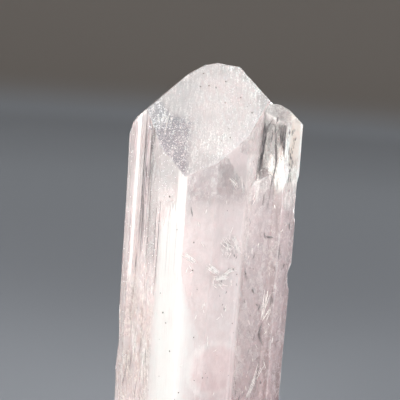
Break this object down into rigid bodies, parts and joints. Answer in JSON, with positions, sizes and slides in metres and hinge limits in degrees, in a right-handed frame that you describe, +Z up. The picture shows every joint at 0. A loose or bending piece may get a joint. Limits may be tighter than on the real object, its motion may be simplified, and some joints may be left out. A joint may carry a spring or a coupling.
{
  "type": "danburite crystal",
  "caption": "Pale pink, partly clear crystal: a tall ribbed prism under a sloping roof of faces, with lower crystals grown along its right side, standing on a broken foot.",
  "frame": {"origin": "middle of the flat foot, under the middle of the crystal's box", "axes": "+Z up along the prism's long axis, +X to the right towards the lower crystals, +Y to the back, away from the large front roof face"},
  "size_m": [0.0244, 0.0256, 0.064],
  "materials": {
    "danburite": "pale pink, milky inside with clear windows; glossy growth faces with fine lengthwise striations and small etch pits"
  },
  "bodies": {
    "root": {"danburite_crystal": "danburite"}
  },
  "joints": []
}
